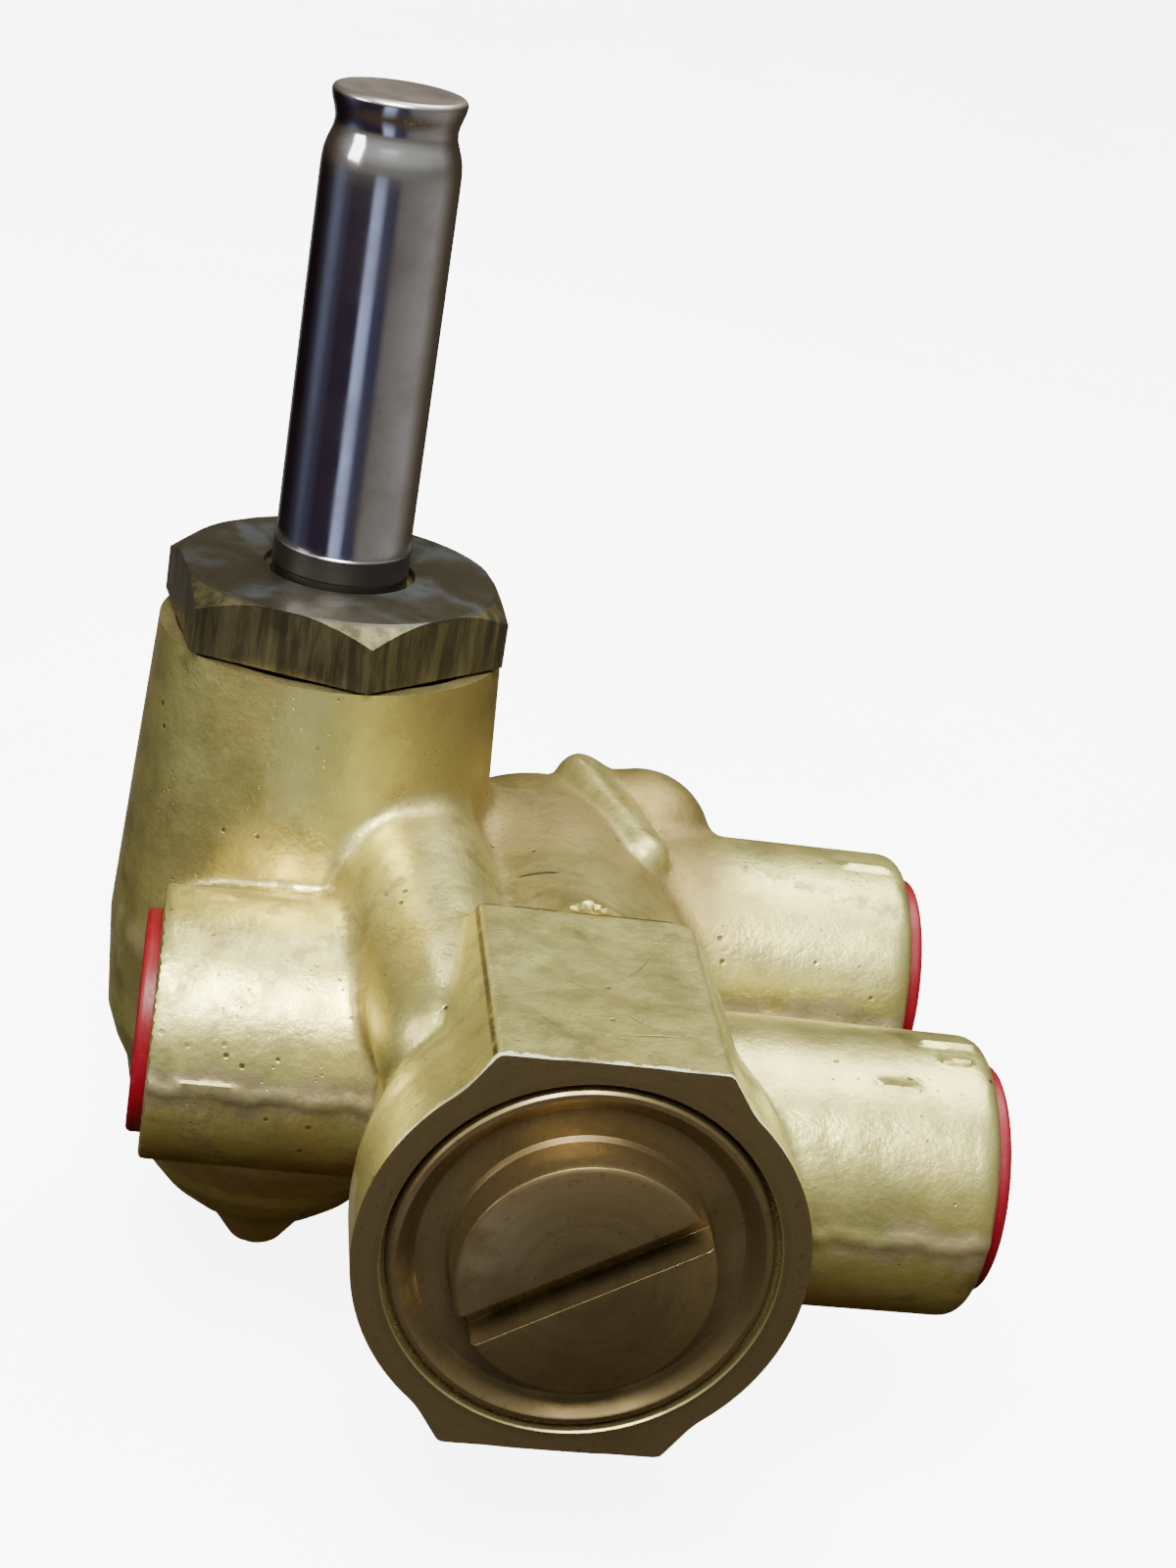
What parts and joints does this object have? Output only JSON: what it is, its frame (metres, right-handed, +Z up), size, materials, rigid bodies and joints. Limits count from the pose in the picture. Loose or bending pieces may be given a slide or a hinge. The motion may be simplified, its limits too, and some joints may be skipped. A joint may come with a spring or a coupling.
{
  "type": "solenoid pilot operated valve",
  "caption": "Forged brass three-way piloted valve with capped pipe ports, slotted end cap and solenoid core tube on a hexagonal base.",
  "frame": {"origin": "middle of the lower wrench pad's flat, under the main bore's axis", "axes": "+Z up the column and core tube, +Y along the main bore from the end cap towards the closed end, +X towards the two ports on one side"},
  "size_m": [0.0892, 0.0896, 0.1327],
  "materials": {
    "forged_brass": "satin forged skin",
    "turned_brass": "turned, dulled",
    "tarnished_brass": "dark tarnish",
    "polished_steel": "bright drawn",
    "steel": "turned",
    "copper": "plain",
    "rubber": "matt black",
    "red_plastic": "moulded"
  },
  "bodies": {
    "body": {"valve_body": "forged_brass", "front_end_cap": "turned_brass", "front_cap_o_ring": "rubber", "front_spacer": "turned_brass", "front_seat": "turned_brass", "front_seat_o_ring": "rubber", "centre_spacer": "turned_brass", "rear_seat": "turned_brass", "rear_seat_o_ring": "rubber", "solenoid_base": "tarnished_brass", "base_gasket": "rubber", "core_tube": "polished_steel", "plugnut": "steel", "shading_ring": "copper", "core_spring": "steel", "pilot_plate": "turned_brass", "relay_seat": "turned_brass", "relay_spring": "steel"},
    "spool": {"spool_stem": "steel", "poppet_holder": "turned_brass", "front_poppet_seal": "rubber", "rear_poppet_seal": "rubber", "poppet_nut": "steel", "main_piston": "turned_brass", "main_piston_cup": "rubber", "piston_nut": "steel"},
    "core": {"core": "steel", "core_seal": "rubber"},
    "relay": {"relay_piston": "turned_brass", "relay_piston_cup": "rubber", "relay_poppet": "turned_brass", "relay_poppet_seal": "rubber"},
    "left_cap": {"left_port_cap": "red_plastic"},
    "front_cap": {"front_port_cap": "red_plastic"},
    "rear_cap": {"rear_port_cap": "red_plastic"}
  },
  "joints": [
    {"name": "spool_slide", "type": "slide", "parent": "body", "child": "spool", "axis": [0, -1, 0], "range_m": [0, 0.0039]},
    {"name": "core_slide", "type": "slide", "parent": "body", "child": "core", "axis": [0, 0, 1], "range_m": [0, 0.0015], "stiffness_N_per_m": 300, "springref_m": -0.004, "deforming": ["core_spring"]},
    {"name": "relay_slide", "type": "slide", "parent": "body", "child": "relay", "axis": [0, 0, -1], "range_m": [0, 0.0024], "stiffness_N_per_m": 500, "springref_m": -0.004, "deforming": ["relay_spring"]},
    {"name": "left_cap_pull", "type": "slide", "parent": "body", "child": "left_cap", "axis": [-1, 0, 0], "range_m": [0, 0.014]},
    {"name": "front_cap_pull", "type": "slide", "parent": "body", "child": "front_cap", "axis": [1, 0, 0], "range_m": [0, 0.014]},
    {"name": "rear_cap_pull", "type": "slide", "parent": "body", "child": "rear_cap", "axis": [1, 0, 0], "range_m": [0, 0.014]}
  ]
}
